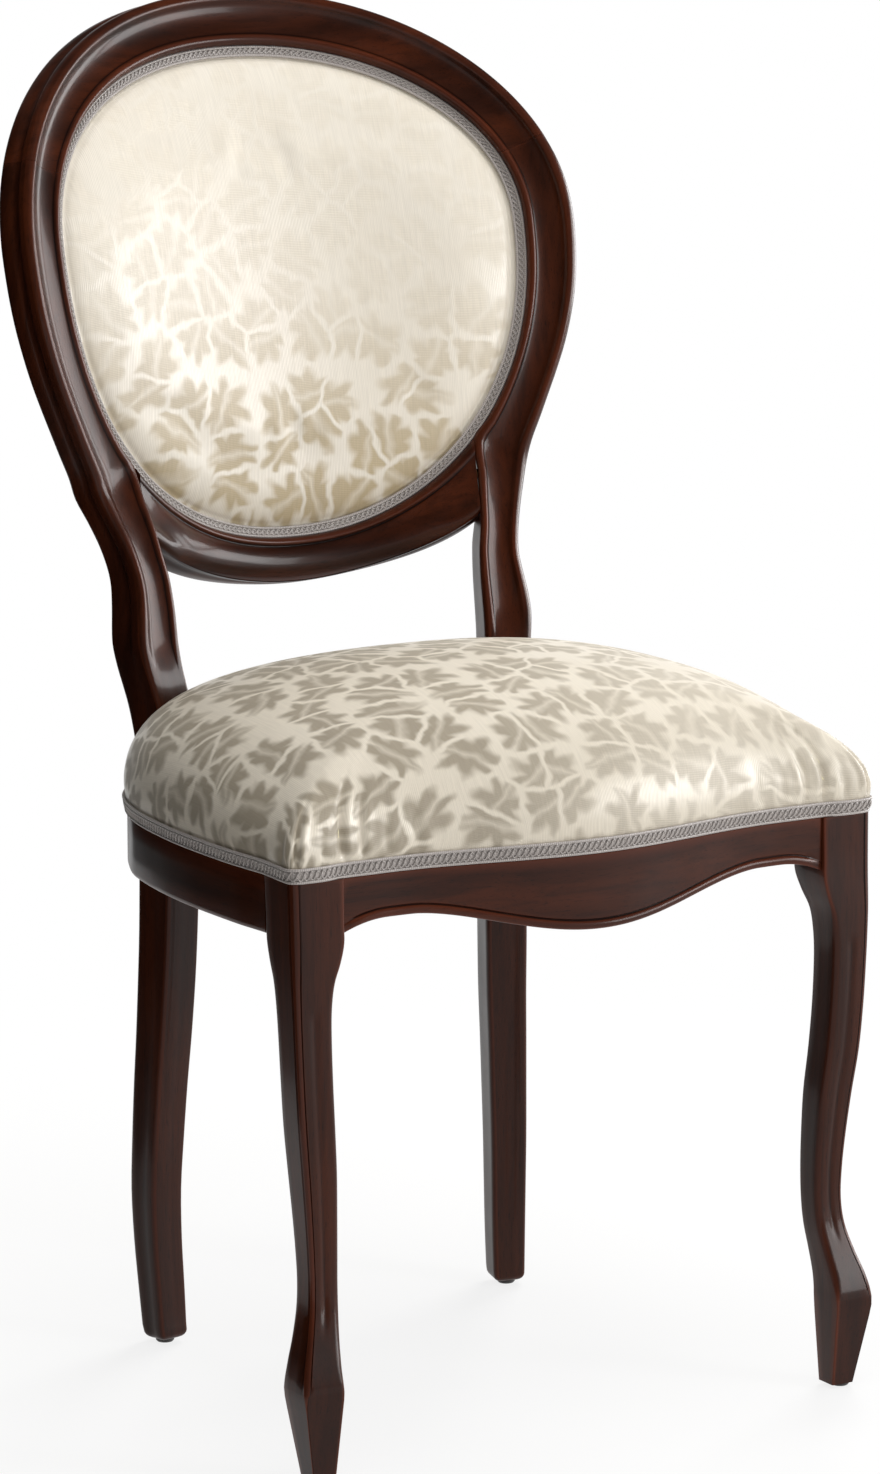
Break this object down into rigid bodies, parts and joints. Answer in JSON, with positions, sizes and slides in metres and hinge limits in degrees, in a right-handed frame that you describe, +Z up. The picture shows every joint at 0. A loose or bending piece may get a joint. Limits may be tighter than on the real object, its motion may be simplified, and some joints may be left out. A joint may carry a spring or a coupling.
{
  "type": "dining chair",
  "caption": "Dining chair with an oval upholstered back, cabriole front legs, a shaped front rail and a stuffed-over damask seat.",
  "frame": {"origin": "on the floor under the middle of the chair's box, halfway between its foremost and rearmost points", "axes": "+X to the right seen from the front, +Y towards the back, +Z up"},
  "size_m": [0.495, 0.5638, 1.0017],
  "materials": {
    "stained_beech": "dark red-brown stained beech under gloss lacquer",
    "beech": "bare planed beech",
    "damask": "cream and taupe damask with a satin ground",
    "gimp": "grey woven gimp braid",
    "jute": "woven jute",
    "foam": "cut upholstery foam",
    "cambric": "black spun-bonded cambric",
    "steel": "plain steel",
    "glide_plastic": "dark moulded nylon"
  },
  "bodies": {
    "root": {"rear_leg_left": "stained_beech", "rear_leg_right": "stained_beech", "crest_rail": "stained_beech", "lower_back_rail": "stained_beech", "front_leg_left": "stained_beech", "front_leg_right": "stained_beech", "front_rail": "stained_beech", "side_rail_left": "stained_beech", "side_rail_right": "stained_beech", "rear_rail": "stained_beech", "front_block_left": "beech", "front_block_right": "beech", "rear_block_left": "beech", "rear_block_right": "beech", "block_screws": "steel", "seat_frame_dowels": "beech", "back_frame_dowels": "beech", "tacking_frame": "beech", "tacking_frame_screws": "steel", "back_webbing": "jute", "back_hessian": "jute", "back_foam": "foam", "back_cover": "damask", "back_gimp": "gimp", "outside_back_cover": "damask", "outside_back_gimp": "gimp", "seat_webbing_lengthwise": "jute", "seat_webbing_crosswise": "jute", "webbing_tacks": "steel", "seat_hessian": "jute", "seat_foam": "foam", "seat_cover": "damask", "seat_gimp": "gimp", "dust_cover": "cambric", "dust_cover_tacks": "steel", "foot_glides": "glide_plastic"}
  },
  "joints": []
}
